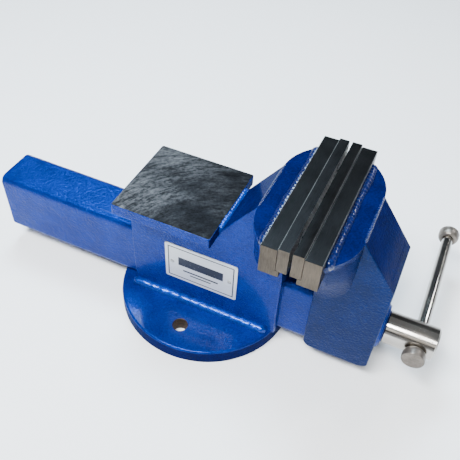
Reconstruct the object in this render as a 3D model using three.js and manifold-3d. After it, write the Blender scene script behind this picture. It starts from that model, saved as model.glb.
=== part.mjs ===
// Bench vise with a 150 mm jaw: a welded steel body on a round foot, a rectangular slide tube,
// and a spindle with a sliding tommy bar. Millimetres, +Z up. The origin is the centre of the
// foot's underside, +X runs along the spindle towards its head, and the jaw gap is closed.
import * as THREE from 'three';
import { mergeVertices } from 'three/addons/utils/BufferGeometryUtils.js';
import Module from 'manifold-3d';

const wasm = await Module();
wasm.setup();

// ---- driving dimensions ----
const jawWidth = 150;
const jawGap = 1.8;            // what is left between the jaw plates when the vise is shut
const gapCentreX = 100.4;      // middle of the jaw gap when the vise is shut
const plate = 6;               // thickness of the body's side and closing plates
const weldGap = 0.2;           // space left between two pieces that are welded together
const slideGap = 0.4;          // running clearance of the slide tube in the body
const screwGap = 0.3;          // clearance around screws, pins and turning shafts
const through = 1;             // how far a cutting tool runs past the surface that it cuts
const facets = { disc: 72, shaft: 36, bar: 24, screw: 20, pin: 16 };

const foot = { radius: 88, thickness: 16, holeRadius: 7, holePitch: 61.5, edge: 1.5 };
const tube = { width: 48, height: 70, wall: 5, corner: 8, rear: -227.5 };
const body = { rear: -67.3, halfWidth: 30.2, setback: 13.8, corner: 8, toe: 14, toeRise: 6 };
const guideThickness = 8;
const anvil = { rear: -74.8, front: 23, halfWidth: 48, bottom: 122.7, top: 133.2, corner: 2 };

// the jaw, measured from its gripping face: u runs away from the gap
const face = { thickness: 9.4, bottom: 157.4, top: 181.4 };
const block = { front: 9.6, back: 23.4, bottom: 151, top: 179.5, ledgeFront: 6.5, ledgeTop: 157.2 };
const seat = { front: 23.6, rear: 43.6, bottom: 151, top: 171, lip: 5, cornerRadius: 50, cornerY: 27.5 };
const flare = { bottom: 92, thickness: 1.2, power: 1.7, levels: 5 };
const slope = { bottomU: 76.8, bottomZ: 127 };
const jawScrew = { y: 45, z: 169, shank: 4, head: 8, sunk: 0.3, headDepth: 4.4, length: 19 };

const spindle = {
  axisZ: 50.7, screwRadius: 12, tip: 2, rear: -132, headRadius: 15.5, headLength: 47.2, edge: 1.5,
};
const boss = { radius: 20, length: 3.4 };
const collar = { radius: 17, length: 8 };
const washer = { radius: 16, length: 1.6 };
const pin = { radius: 2, end: 0.3 };
const handle = { radius: 5.5, fromHeadFront: 16, farEnd: 150 };
const cap = { radius: 10.4, length: 11, edge: 1.3, socket: 8 };
const nut = { rear: 36, length: 28, halfWidth: 17.5, halfHeight: 17, postWidth: 20 };
const slot = { side: 1, end: 3 };  // clearance of the tube's slot around the nut's post
const nutBolt = { radius: 6, headRadius: 9, headLength: 7, sunk: 1, depthInNut: 13 };
const travel = 150;            // how far the jaw opens
const label = { rear: -31, front: 44, bottom: 44.6, top: 91.2, thickness: 0.8, corner: 2 };
const rivet = { radius: 2.2, height: 0.9, inset: 7.5, crown: 0.7, crownRadius: 0.8 };

// ---- lengths that follow from them ----
const tubeBottom = foot.thickness + slideGap;
const tubeTop = tubeBottom + tube.height;
const movingBottom = tubeBottom + 1;
const innerY = body.halfWidth - plate;
const fixedJawX = gapCentreX - jawGap / 2;
const movingJawX = gapCentreX + jawGap / 2;
const slopeRun = (slope.bottomU - seat.rear) / (seat.top - slope.bottomZ);
const slopeU = (z) => seat.rear + (seat.top - z) * slopeRun;
const slopeZ = (u) => seat.top - (u - seat.rear) / slopeRun;
const frontX = movingJawX + slope.bottomU;
const headX = frontX + boss.length + weldGap;
const pinX = frontX - plate - washer.length - 2 * screwGap - collar.length / 2;
const boltX = nut.rear + nut.length / 2;

// ---- materials ----
const finish = (color, roughness, metalness) => () =>
  new THREE.MeshStandardMaterial({ color, roughness, metalness });
const bluePaint = finish(0x1747a6, 0.38, 0.35);
const groundSteel = finish(0x3c3f42, 0.4, 0.9);
const jawSteel = finish(0x4a4641, 0.35, 0.9);
const blackOxide = finish(0x1c1c1e, 0.45, 0.8);
const chrome = finish(0xc9c7c2, 0.14, 1);
const screwSteel = finish(0x77777a, 0.4, 1);
const castIron = finish(0x4b4c4e, 0.7, 0.6);
const labelMetal = finish(0xdadada, 0.35, 0.5);

// ---- solids ----
function toSolid(geometry) {
  const bare = geometry.index ? geometry.toNonIndexed() : geometry.clone();
  bare.deleteAttribute('normal');
  bare.deleteAttribute('uv');
  const merged = mergeVertices(bare, 1e-4);
  return new wasm.Manifold(new wasm.Mesh({
    numProp: 3,
    vertProperties: merged.attributes.position.array,
    triVerts: new Uint32Array(merged.index.array),
  }));
}

function toGeometry(solid) {
  const mesh = solid.getMesh();
  const geometry = new THREE.BufferGeometry();
  geometry.setAttribute('position', new THREE.BufferAttribute(mesh.vertProperties, 3));
  geometry.setIndex(new THREE.BufferAttribute(mesh.triVerts, 1));
  geometry.computeVertexNormals();
  return geometry;
}

function cut(geometry, ...tools) {
  return toGeometry(tools.reduce((left, tool) => left.subtract(toSolid(tool)), toSolid(geometry)));
}

function join(...geometries) {
  return toGeometry(geometries.map(toSolid).reduce((whole, part) => whole.add(part)));
}

function extrude(shape, depth, curveSegments = 6) {
  return new THREE.ExtrudeGeometry(shape, { depth, bevelEnabled: false, curveSegments });
}

// an outline drawn in X and Z, extruded along Y
function alongY(shape, fromY, toY, curveSegments) {
  const turn = new THREE.Matrix4().makeBasis(
    new THREE.Vector3(1, 0, 0), new THREE.Vector3(0, 0, 1), new THREE.Vector3(0, -1, 0));
  return extrude(shape, toY - fromY, curveSegments).applyMatrix4(turn).translate(0, toY, 0);
}

// an outline drawn in Y and Z, extruded along X
function alongX(shape, fromX, toX, curveSegments) {
  const turn = new THREE.Matrix4().makeBasis(
    new THREE.Vector3(0, 1, 0), new THREE.Vector3(0, 0, 1), new THREE.Vector3(1, 0, 0));
  return extrude(shape, toX - fromX, curveSegments).applyMatrix4(turn).translate(fromX, 0, 0);
}

function outline(points) {
  return new THREE.Shape(points.map(([a, b]) => new THREE.Vector2(a, b)));
}

function box(x0, x1, y0, y1, z0, z1) {
  const geometry = new THREE.BoxGeometry(x1 - x0, y1 - y0, z1 - z0);
  return geometry.translate((x0 + x1) / 2, (y0 + y1) / 2, (z0 + z1) / 2);
}

// a solid of revolution: profile points are [radius, distance along the axis]
function turned(profile, axis, segments = facets.shaft) {
  const points = profile.map(([radius, along]) => new THREE.Vector2(radius, along));
  const geometry = new THREE.LatheGeometry(points, segments);
  if (axis === 'x') geometry.rotateZ(-Math.PI / 2);
  if (axis === 'z') geometry.rotateX(Math.PI / 2);
  return geometry;
}

function rod(radius, from, to, axis, segments = facets.shaft) {
  return turned([[0, from], [radius, from], [radius, to], [0, to]], axis, segments);
}

function chamferedRod(radius, from, to, chamfer, axis, segments = facets.shaft) {
  return turned([
    [0, from], [radius - chamfer, from], [radius, from + chamfer],
    [radius, to - chamfer], [radius - chamfer, to], [0, to],
  ], axis, segments);
}

function ring(inner, outer, from, to, axis, segments = facets.shaft) {
  return turned([[inner, from], [outer, from], [outer, to], [inner, to], [inner, from]], axis, segments);
}

function roundedRectangle(x0, x1, y0, y1, radius) {
  const shape = new THREE.Shape();
  shape.moveTo(x0 + radius, y0);
  shape.lineTo(x1 - radius, y0);
  shape.absarc(x1 - radius, y0 + radius, radius, -Math.PI / 2, 0);
  shape.lineTo(x1, y1 - radius);
  shape.absarc(x1 - radius, y1 - radius, radius, 0, Math.PI / 2);
  shape.lineTo(x0 + radius, y1);
  shape.absarc(x0 + radius, y1 - radius, radius, Math.PI / 2, Math.PI);
  shape.lineTo(x0, y0 + radius);
  shape.absarc(x0 + radius, y0 + radius, radius, Math.PI, Math.PI * 1.5);
  return shape;
}

function piece(name, geometry, material) {
  const mesh = new THREE.Mesh(geometry, material());
  mesh.name = name;
  return mesh;
}

// ---- the foot ----
function basePlate() {
  const { radius, thickness, edge } = foot;
  const disc = turned([
    [0, 0], [radius, 0], [radius, thickness - edge], [radius - edge, thickness], [0, thickness],
  ], 'z', facets.disc);
  const top = thickness + through;
  const boltHole = () => rod(foot.holeRadius, -through, top, 'z', facets.bar);
  const nutHole = rod(nutBolt.radius + screwGap, -through, top, 'z', facets.bar);
  const counterbore = rod(
    nutBolt.headRadius + screwGap, -through, nutBolt.sunk + nutBolt.headLength + weldGap, 'z', facets.bar);
  return cut(
    disc,
    boltHole().translate(0, foot.holePitch, 0),
    boltHole().translate(0, -foot.holePitch, 0),
    nutHole.translate(boltX, 0, 0),
    counterbore.translate(boltX, 0, 0),
  );
}

// ---- body plates; u is the distance from the jaw's gripping face ----
function fixedSide(fromY, toY) {
  const bottom = foot.thickness + weldGap;
  const top = seat.bottom - weldGap;
  const stepX = anvil.front + weldGap;
  const shape = outline([
    [body.rear, bottom],
    [fixedJawX - body.setback, bottom],
    [fixedJawX - body.setback, top],
    [fixedJawX - slopeU(top), top],
    [stepX, slopeZ(fixedJawX - stepX)],
    [stepX, anvil.bottom - weldGap],
    [body.rear, anvil.bottom - weldGap],
  ]);
  return alongY(shape, fromY, toY);
}

// The side plate's lower edge: round at the back, eased up to the front.
function movingSide(fromY, toY) {
  const { setback, corner, toe, toeRise } = body;
  const top = seat.bottom - weldGap;
  const shape = new THREE.Shape();
  shape.moveTo(setback, top);
  shape.lineTo(setback, movingBottom + corner);
  shape.absarc(setback + corner, movingBottom + corner, corner, Math.PI, Math.PI * 1.5);
  shape.lineTo(slope.bottomU - toe, movingBottom);
  shape.quadraticCurveTo(slope.bottomU, movingBottom, slope.bottomU, movingBottom + toeRise);
  shape.lineTo(slope.bottomU, slope.bottomZ);
  shape.lineTo(slopeU(top), top);
  return alongY(shape, fromY, toY, 5);
}

function crossPlate(u0, u1, bottom, top) {
  const half = innerY - weldGap;
  return box(u0, u1, -half, half, bottom, top);
}

// the inclined plate under the seat, cut off at the distance endU from the gripping face
function slopePlate(endU) {
  const half = innerY - weldGap;
  const top = seat.bottom - weldGap;
  const alongSlope = plate * Math.hypot(1, slopeRun);
  const shape = outline([
    [slopeU(top), top],
    [endU, slopeZ(endU)],
    [endU, slopeZ(endU) - alongSlope / slopeRun],
    [slopeU(top) - alongSlope, top],
  ]);
  return alongY(shape, -half, half);
}

function movingFrontPlate() {
  const half = innerY - weldGap;
  const inner = slope.bottomU - plate;
  const shape = outline([
    [inner, movingBottom + toeRiseAt(inner)],
    [slope.bottomU, movingBottom + body.toeRise],
    [slope.bottomU, slope.bottomZ],
    [inner, slopeZ(inner)],
  ]);
  const hole = rod(spindle.screwRadius + screwGap, inner - through, slope.bottomU + through, 'x');
  return cut(alongY(shape, -half, half), hole.translate(0, 0, spindle.axisZ));
}

// how far the side plate's eased lower edge has risen at the distance u
function toeRiseAt(u) {
  const share = 1 - Math.sqrt((slope.bottomU - u) / body.toe);
  return body.toeRise * share * share;
}

function anvilPlate() {
  const shape = roundedRectangle(anvil.rear, anvil.front, -anvil.halfWidth, anvil.halfWidth, anvil.corner);
  return extrude(shape, anvil.top - anvil.bottom, 4).translate(0, 0, anvil.bottom);
}

// ---- the jaw, drawn with its gripping face at u = 0 and its back towards +u ----
// Half the seat's D-shaped outline, from the jaw's back round the corner to the body.
function wingOutline() {
  const { front, rear, cornerRadius, cornerY } = seat;
  const centreU = rear - cornerRadius;
  const startAngle = Math.acos((front - centreU) / cornerRadius);
  const inner = body.halfWidth;
  const endAngle = Math.asin((inner - cornerY) / cornerRadius);
  const shape = new THREE.Shape();
  shape.moveTo(front, inner);
  shape.absarc(centreU, cornerY, cornerRadius, endAngle, startAngle);
  shape.lineTo(front, inner);
  return shape;
}

// A wing is as wide as the D under its lip, and draws in to the side plate lower down.
function flaredWing() {
  const { bottom, thickness, power, levels } = flare;
  const lipBottom = seat.top - seat.lip;
  const geometry = new THREE.ExtrudeGeometry(wingOutline(), {
    depth: 1, steps: levels + 1, bevelEnabled: false, curveSegments: 10,
  });
  const position = geometry.attributes.position;
  for (let i = 0; i < position.count; i += 1) {
    const level = Math.round(position.getZ(i) * (levels + 1));
    const rise = Math.min(level / levels, 1);
    const reach = position.getY(i) - body.halfWidth;
    const share = Math.max(rise ** power, thickness / (jawWidth / 2 - body.halfWidth));
    position.setY(i, body.halfWidth + reach * share);
    position.setZ(i, level > levels ? seat.top : bottom + (lipBottom - bottom) * rise);
  }
  return geometry;
}

// Under the jaw block the wing carries on to the side plate's edge.
function wingBrow(overlap) {
  const { bottom, thickness, power, levels } = flare;
  const { front, rear, cornerRadius, cornerY } = seat;
  const lipBottom = seat.top - seat.lip;
  const browTop = block.bottom - weldGap;
  const widest = cornerY + Math.sqrt(cornerRadius ** 2 - (front - rear + cornerRadius) ** 2);
  const points = [[body.halfWidth, browTop], [body.halfWidth, bottom]];
  for (let level = 0; level < levels; level += 1) {
    const z = Math.min(bottom + ((lipBottom - bottom) * level) / (levels - 1), browTop);
    const rise = (z - bottom) / (lipBottom - bottom);
    const share = Math.max(rise ** power, thickness / (jawWidth / 2 - body.halfWidth));
    points.push([body.halfWidth + (widest - body.halfWidth) * share, z]);
  }
  return alongX(outline(points), body.setback, front + overlap);
}

function jawSeat() {
  const centre = outline([
    [seat.front, seat.bottom],
    [slopeU(seat.bottom), seat.bottom],
    [seat.rear, seat.top],
    [seat.front, seat.top],
  ]);
  const overlap = 0.5;
  const wing = toSolid(flaredWing()).add(toSolid(wingBrow(overlap)));
  const core = alongY(centre, -body.halfWidth - overlap, body.halfWidth + overlap);
  return toGeometry(toSolid(core).add(wing).add(wing.mirror([0, 1, 0])));
}

// The block has a ledge in front that carries the face plate.
function jawBlock() {
  const half = jawWidth / 2;
  const profile = outline([
    [block.ledgeFront, block.bottom],
    [block.back, block.bottom],
    [block.back, block.top],
    [block.front, block.top],
    [block.front, block.ledgeTop],
    [block.ledgeFront, block.ledgeTop],
  ]);
  const hole = () => rod(
    jawScrew.shank + screwGap, block.front - through, jawScrew.length + through, 'x', facets.screw);
  return cut(
    alongY(profile, -half, half),
    hole().translate(0, jawScrew.y, jawScrew.z),
    hole().translate(0, -jawScrew.y, jawScrew.z),
  );
}

function screwProfile(gap, end) {
  const { shank, head, sunk, headDepth } = jawScrew;
  const start = sunk - gap;
  return [[0, start], [head + gap, start], [shank + gap, headDepth], [shank + gap, end], [0, end]];
}

function jawPlate() {
  const half = jawWidth / 2;
  const hole = () => turned(screwProfile(screwGap, face.thickness + through), 'x', facets.screw);
  return cut(
    box(0, face.thickness, -half, half, face.bottom, face.top),
    hole().translate(0, jawScrew.y, jawScrew.z),
    hole().translate(0, -jawScrew.y, jawScrew.z),
  );
}

function jawScrewSolid() {
  return turned(screwProfile(0, jawScrew.length), 'x', facets.screw);
}

// Every piece of one jaw. The near side is -Y once the jaw is in place.
function jaw(prefix, nearSign) {
  const group = new THREE.Group();
  group.add(piece(`${prefix}_jaw_seat`, jawSeat(), bluePaint));
  group.add(piece(`${prefix}_jaw_block`, jawBlock(), jawSteel));
  group.add(piece(`${prefix}_jaw_plate`, jawPlate(), jawSteel));
  for (const [side, sign] of [['near', nearSign], ['far', -nearSign]]) {
    const screw = piece(`${prefix}_jaw_screw_${side}`, jawScrewSolid(), blackOxide);
    screw.position.set(0, sign * jawScrew.y, jawScrew.z);
    group.add(screw);
  }
  return group;
}

// ---- the slide tube, open at the back and slotted for the nut's post ----
function slideTube() {
  const half = tube.width / 2;
  const front = frontX - plate - weldGap;
  const section = roundedRectangle(-half, half, tubeBottom, tubeTop, tube.corner);
  const { wall } = tube;
  section.holes.push(roundedRectangle(
    -half + wall, half - wall, tubeBottom + wall, tubeTop - wall, tube.corner - wall));
  const slotRear = nut.rear - travel - slot.end;
  const slotFront = nut.rear + nut.length + slot.end;
  const slotHalf = nut.postWidth / 2 + slot.side;
  const tool = box(
    slotRear, slotFront, -slotHalf, slotHalf, tubeBottom - through, tubeBottom + wall + through);
  return cut(alongX(section, tube.rear, front, 4), tool);
}

// ---- the nut, which stands on the foot inside the tube ----
function spindleNut() {
  const { rear, length, halfWidth, halfHeight, postWidth } = nut;
  const front = rear + length;
  const half = postWidth / 2;
  const bottom = foot.thickness + weldGap;
  const headBottom = spindle.axisZ - halfHeight;
  const head = box(rear, front, -halfWidth, halfWidth, headBottom, spindle.axisZ + halfHeight);
  const post = box(rear, front, -half, half, bottom, headBottom + through);
  const bore = rod(spindle.screwRadius + screwGap, rear - through, front + through, 'x');
  const tappedTop = foot.thickness + nutBolt.depthInNut + through;
  const tapped = rod(nutBolt.radius + screwGap, bottom - through, tappedTop, 'z', facets.bar);
  return cut(join(head, post), bore.translate(0, 0, spindle.axisZ), tapped.translate(boltX, 0, 0));
}

function nutBoltSolid() {
  const { radius, headRadius, headLength, sunk, depthInNut } = nutBolt;
  const shoulder = sunk + headLength;
  const top = foot.thickness + depthInNut;
  return turned([
    [0, sunk], [headRadius, sunk], [headRadius, shoulder], [radius, shoulder], [radius, top], [0, top],
  ], 'z', facets.bar).translate(boltX, 0, 0);
}

function nameplate() {
  const shape = roundedRectangle(label.rear, label.front, label.bottom, label.top, label.corner);
  const outside = -body.halfWidth - weldGap / 2;
  return alongY(shape, outside - label.thickness, outside, 3);
}

function rivetSolid() {
  const { radius, height, crown, crownRadius } = rivet;
  const profile = [[0, 0], [radius, 0], [radius * crownRadius, height * crown], [0, height]];
  return turned(profile, 'y', facets.pin).rotateX(Math.PI);
}

// ---- the spindle, drawn about its own axis ----
function pinHole() {
  const { headRadius } = spindle;
  const reach = headRadius + collar.radius;
  return rod(pin.radius + screwGap, -reach, reach, 'z', facets.pin).translate(pinX, 0, 0);
}

function spindleSolid() {
  const { screwRadius, tip, rear, headRadius, headLength, edge } = spindle;
  const front = headX + headLength;
  const blank = turned([
    [0, rear], [screwRadius - tip, rear], [screwRadius, rear + tip], [screwRadius, headX],
    [headRadius - edge, headX], [headRadius, headX + edge],
    [headRadius, front - edge], [headRadius - edge, front], [0, front],
  ], 'x');
  const reach = headRadius + through;
  const crossHole = rod(handle.radius + screwGap, -reach, reach, 'y', facets.bar);
  return cut(blank, crossHole.translate(front - handle.fromHeadFront, 0, 0), pinHole());
}

function retainingCollar() {
  const from = pinX - collar.length / 2;
  const blank = ring(spindle.screwRadius + screwGap, collar.radius, from, from + collar.length, 'x');
  return cut(blank, pinHole());
}

function thrustWasher() {
  const from = pinX + collar.length / 2 + screwGap;
  return ring(spindle.screwRadius + screwGap, washer.radius, from, from + washer.length, 'x');
}

function collarPin() {
  const reach = collar.radius - pin.end;
  return rod(pin.radius, -reach, reach, 'z', facets.pin).translate(pinX, 0, 0);
}

function spindleBoss() {
  return ring(spindle.screwRadius + screwGap, boss.radius, frontX + weldGap, frontX + boss.length, 'x');
}

// ---- the handle, drawn along Y through the spindle's axis ----
function handlePieces() {
  const nearInner = -spindle.headRadius - screwGap;
  const farInner = handle.farEnd - cap.length;
  const nearBottom = nearInner - cap.socket;
  const farBottom = farInner + cap.socket;
  const socket = (from, to) => rod(handle.radius + screwGap, from, to, 'y', facets.bar);
  const bar = rod(handle.radius, nearBottom + screwGap, farBottom - screwGap, 'y', facets.bar);
  const nearCap = cut(
    chamferedRod(cap.radius, nearInner - cap.length, nearInner, cap.edge, 'y'),
    socket(nearBottom, nearInner + through));
  const farCap = cut(
    chamferedRod(cap.radius, farInner, handle.farEnd, cap.edge, 'y'),
    socket(farInner - through, farBottom));
  return [
    piece('handle_bar', bar, chrome),
    piece('handle_cap_near', nearCap, chrome),
    piece('handle_cap_far', farCap, chrome),
  ];
}

// ---- assembly ----
function fixedHalf() {
  const group = new THREE.Group();
  const jawFront = fixedJawX - body.setback;
  const outer = body.halfWidth;
  const guideBottom = tubeTop + slideGap;
  const guideTop = guideBottom + guideThickness;
  group.add(piece('base_plate', basePlate(), bluePaint));
  group.add(piece('fixed_side_near', fixedSide(-outer, -innerY), bluePaint));
  group.add(piece('fixed_side_far', fixedSide(innerY, outer), bluePaint));
  group.add(piece('fixed_guide_plate', crossPlate(body.rear, jawFront, guideBottom, guideTop), bluePaint));
  group.add(piece('fixed_rear_plate', crossPlate(
    body.rear, body.rear + plate, guideTop + weldGap, anvil.bottom - weldGap), bluePaint));
  group.add(piece('fixed_front_plate', crossPlate(
    jawFront - plate, jawFront, guideTop + weldGap, seat.bottom - weldGap), bluePaint));
  const slopeEnd = fixedJawX - anvil.front - weldGap;
  const sloping = piece('fixed_slope_plate', slopePlate(slopeEnd), bluePaint);
  sloping.position.x = fixedJawX;
  sloping.rotation.z = Math.PI;
  group.add(sloping);
  group.add(piece('anvil_plate', anvilPlate(), groundSteel));
  const fixedJaw = jaw('fixed', 1);
  fixedJaw.position.x = fixedJawX;
  fixedJaw.rotation.z = Math.PI;
  group.add(fixedJaw);
  group.add(piece('nameplate', nameplate(), labelMetal));
  for (const [end, x] of [['rear', label.rear + rivet.inset], ['front', label.front - rivet.inset]]) {
    const mesh = piece(`nameplate_rivet_${end}`, rivetSolid(), screwSteel);
    const surface = -body.halfWidth - label.thickness - weldGap;
    mesh.position.set(x, surface, (label.bottom + label.top) / 2);
    group.add(mesh);
  }
  group.add(piece('spindle_nut', spindleNut(), castIron));
  group.add(piece('nut_bolt', nutBoltSolid(), blackOxide));
  return group;
}

function movingHalf() {
  const group = new THREE.Group();
  const outer = body.halfWidth;
  group.add(piece('slide_tube', slideTube(), bluePaint));
  group.add(piece('spindle_boss', spindleBoss().translate(0, 0, spindle.axisZ), bluePaint));
  const head = new THREE.Group();
  head.position.x = movingJawX;
  head.add(piece('moving_side_near', movingSide(-outer, -innerY), bluePaint));
  head.add(piece('moving_side_far', movingSide(innerY, outer), bluePaint));
  head.add(piece('moving_rear_plate', crossPlate(
    body.setback, body.setback + plate, tubeTop + weldGap, seat.bottom - weldGap), bluePaint));
  head.add(piece('moving_slope_plate', slopePlate(slope.bottomU - plate - weldGap), bluePaint));
  head.add(piece('moving_front_plate', movingFrontPlate(), bluePaint));
  head.add(jaw('moving', -1));
  group.add(head);
  return group;
}

function spindleGroup() {
  const group = new THREE.Group();
  group.position.z = spindle.axisZ;
  group.add(piece('spindle', spindleSolid(), chrome));
  group.add(piece('thrust_washer', thrustWasher(), screwSteel));
  group.add(piece('retaining_collar', retainingCollar(), screwSteel));
  group.add(piece('collar_pin', collarPin(), screwSteel));
  const handleGroup = new THREE.Group();
  handleGroup.position.x = headX + spindle.headLength - handle.fromHeadFront;
  handleGroup.add(...handlePieces());
  group.add(handleGroup);
  return group;
}

const vise = new THREE.Group();
vise.add(fixedHalf(), movingHalf(), spindleGroup());

export default vise;
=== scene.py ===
"""Bench vise: a welded steel body in blue hammered enamel on a round foot, with a rectangular
slide tube, steel jaws, and a spindle with a sliding tommy bar. Metres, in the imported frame."""
import math
import random

import bmesh
import bpy
from mathutils import Matrix, Vector


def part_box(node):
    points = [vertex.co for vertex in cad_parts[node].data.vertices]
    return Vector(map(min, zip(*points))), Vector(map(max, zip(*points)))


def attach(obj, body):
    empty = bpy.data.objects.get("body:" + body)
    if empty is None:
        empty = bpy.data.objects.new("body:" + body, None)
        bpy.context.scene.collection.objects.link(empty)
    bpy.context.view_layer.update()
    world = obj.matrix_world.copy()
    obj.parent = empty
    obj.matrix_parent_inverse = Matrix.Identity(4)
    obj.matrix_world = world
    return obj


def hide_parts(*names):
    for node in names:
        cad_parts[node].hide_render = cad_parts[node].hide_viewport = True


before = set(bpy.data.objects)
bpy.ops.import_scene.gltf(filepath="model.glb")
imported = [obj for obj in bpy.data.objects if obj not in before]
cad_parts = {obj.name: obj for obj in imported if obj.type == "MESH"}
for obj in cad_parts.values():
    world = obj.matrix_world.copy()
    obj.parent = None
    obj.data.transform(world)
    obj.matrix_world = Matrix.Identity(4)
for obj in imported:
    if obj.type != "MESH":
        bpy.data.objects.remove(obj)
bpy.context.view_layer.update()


# ---- the foot ----
# A round steel plate cut from 16 mm stock, its rim eased by hand. It has two holes for bench
# bolts and a counterbored one underneath for the nut's bolt, and is enamelled with the body.
class Wire:
    """A node's output that can be used in arithmetic."""

    def __init__(self, finish, socket):
        self.finish = finish
        self.socket = socket

    def __add__(self, other):
        return self.finish.maths("ADD", self, other)

    def __sub__(self, other):
        return self.finish.maths("SUBTRACT", self, other)

    def __rsub__(self, other):
        return self.finish.maths("SUBTRACT", other, self)

    def __mul__(self, other):
        return self.finish.maths("MULTIPLY", self, other)

    def __lt__(self, other):
        return self.finish.maths("LESS_THAN", self, other)

    def __abs__(self):
        return self.finish.maths("ABSOLUTE", self)

    __radd__ = __add__
    __rmul__ = __mul__


class Finish:
    """A surface finish in the making: its nodes and the shader that they feed."""

    def __init__(self, name, **constants):
        self.material = bpy.data.materials.new(name)
        self.material.use_nodes = True
        self.tree = self.material.node_tree
        self.shader = self.tree.nodes["Principled BSDF"]
        self.surface(**constants)
        self.place = self.node("ShaderNodeTexCoord", out="Object")

    def node(self, kind, settings=None, sockets=None, out=0):
        """Adds a node: its settings first, then the values or links of its sockets."""
        made = self.tree.nodes.new(kind)
        for name, value in (settings or {}).items():
            if name == "stops":
                for stop, (position, shade) in zip(made.color_ramp.elements, value):
                    stop.position = position
                    stop.color = (shade, shade, shade, 1)
            else:
                setattr(made, name, value)
        for name, value in (sockets or {}).items():
            self.feed(made.inputs[name], value)
        return Wire(self, made.outputs[out])

    def maths(self, operation, first, second=0.0):
        return self.node("ShaderNodeMath", {"operation": operation}, {0: first, 1: second})

    def feed(self, socket, value):
        if isinstance(value, Wire):
            self.tree.links.new(value.socket, socket)
        else:
            socket.default_value = value

    def surface(self, **values):
        """Sets or links the shader's sockets: base_color stands for Base Color."""
        for name, value in values.items():
            title = name.replace("_", " ").title().replace("Ior", "IOR")
            self.feed(self.shader.inputs[title], value)

    def along(self, axis):
        """How far along "X", "Y" or "Z" a point of the piece is."""
        return self.node("ShaderNodeSeparateXYZ", None, {0: self.place}, axis)

    def stretched(self, scale):
        """Object coordinates, stretched so that a pattern runs in one direction."""
        return self.node("ShaderNodeMapping", None, {"Vector": self.place, "Scale": scale})

    def noise(self, scale, detail=2, place=None, rough=0.5, out="Fac"):
        sockets = {"Vector": place or self.place, "Scale": scale, "Detail": detail, "Roughness": rough}
        return self.node("ShaderNodeTexNoise", None, sockets, out)

    def spread(self, value, low, high):
        """Turns the range low to high of a value into 0 to 1."""
        return self.node("ShaderNodeMapRange", {"interpolation_type": "SMOOTHSTEP"},
                         {"Value": value, "From Min": low, "From Max": high})

    def blend(self, share, first, second):
        return self.node("ShaderNodeMix", {"data_type": "RGBA"}, {0: share, 6: first, 7: second}, 2)

    def relief(self, height, distance, under=None):
        """Bumps of the given height in metres, on top of the ones under them."""
        sockets = {"Height": height, "Distance": distance, "Strength": 1.0}
        if under:
            sockets["Normal"] = under
        return self.node("ShaderNodeBump", None, sockets)


# How many of each feature there are to a metre, and how deep they are in metres.
cloud_scale, flow_scale, drift_scale, dimple_scale, grit_scale = 45, 70, 300, 560, 1900
flow_depth, dimple_depth, grit_depth = 0.0005, 0.0004, 0.00009
dimple_drift = (0.0025, 0.0025, 0.0025)
enamel_glint = (0.1, 0.5, 1, 1)


def hammered_enamel(name, deep, pale, sheen=0.42, gloss=0.13, glow=0.16):
    """Thick glossy enamel that dries in small shallow dimples, with grit in it."""
    paint = Finish(name, metallic=sheen, coat_weight=gloss, coat_roughness=0.1,
                   specular_ior_level=glow, specular_tint=enamel_glint)
    drift = paint.noise(drift_scale, 1, out="Color")
    loose = paint.node("ShaderNodeVectorMath", {"operation": "MULTIPLY_ADD"},
                       {0: drift, 1: dimple_drift, 2: paint.place})
    dimples = paint.node("ShaderNodeTexVoronoi", {"feature": "SMOOTH_F1"},
                         {"Vector": loose, "Scale": dimple_scale, "Smoothness": 0.8}, "Distance")
    grit = paint.noise(grit_scale, 3)
    flow = paint.noise(flow_scale, 2)
    cloud = paint.noise(cloud_scale, 3)
    shade = paint.spread(cloud * 0.45 + dimples * 0.35 + grit * 0.25, 0.25, 0.8)
    paint.surface(base_color=paint.blend(shade, deep, pale))
    paint.surface(roughness=paint.spread(grit, 0.3, 0.8) * 0.12 + 0.26)
    swell = paint.relief(flow, flow_depth)
    dimpled = paint.relief(dimples, dimple_depth, swell)
    paint.surface(normal=paint.relief(grit, grit_depth, dimpled))
    return paint


enamel = hammered_enamel("blue_enamel", (0.0008, 0.007, 0.085, 1), (0.003, 0.021, 0.2, 1))
# A darker, duller copy of the blue enamel: painted shade, put on faces picked out by which way they
# face.
shade_painted_enamel = hammered_enamel("shade_painted_enamel", (0.0005, 0.002, 0.022, 1), (0.0015, 0.006, 0.066, 1),
                              sheen=0.1, gloss=0.06, glow=0.0)

# Bare steel kept very dark, a painted shade for the insides of the holes and the tube, with patches of
# rust.
hole_steel = Finish("bare_hole_steel", metallic=0.6, roughness=0.6)
grey_hole, rusty_hole = (0.02, 0.018, 0.016, 1), (0.07, 0.036, 0.018, 1)
rust_scale, scab_scale, scab_depth = 420, 1400, 0.0002
rust = hole_steel.spread(hole_steel.noise(rust_scale, 4), 0.35, 0.65)
hole_steel.surface(base_color=hole_steel.blend(rust, grey_hole, rusty_hole))
hole_steel.surface(normal=hole_steel.relief(hole_steel.noise(scab_scale, 3), scab_depth))


def lathe(profile, axis="x", centre=(0, 0, 0), steps=48):
    """Turns (radius, distance) points about an axis. A profile that ends on the axis is solid."""
    shape = bmesh.new()
    spots = {"x": lambda r, d: (d, 0, r), "y": lambda r, d: (0, d, r), "z": lambda r, d: (r, 0, d)}
    corners = [shape.verts.new(spots[axis](*point)) for point in profile]
    lines = [shape.edges.new(pair) for pair in zip(corners, corners[1:])]
    about = {"x": (1, 0, 0), "y": (0, 1, 0), "z": (0, 0, 1)}[axis]
    bmesh.ops.spin(shape, geom=corners + lines, cent=(0, 0, 0), axis=about,
                   angle=math.tau, steps=steps, use_merge=True)
    return settled(shape, centre)


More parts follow.
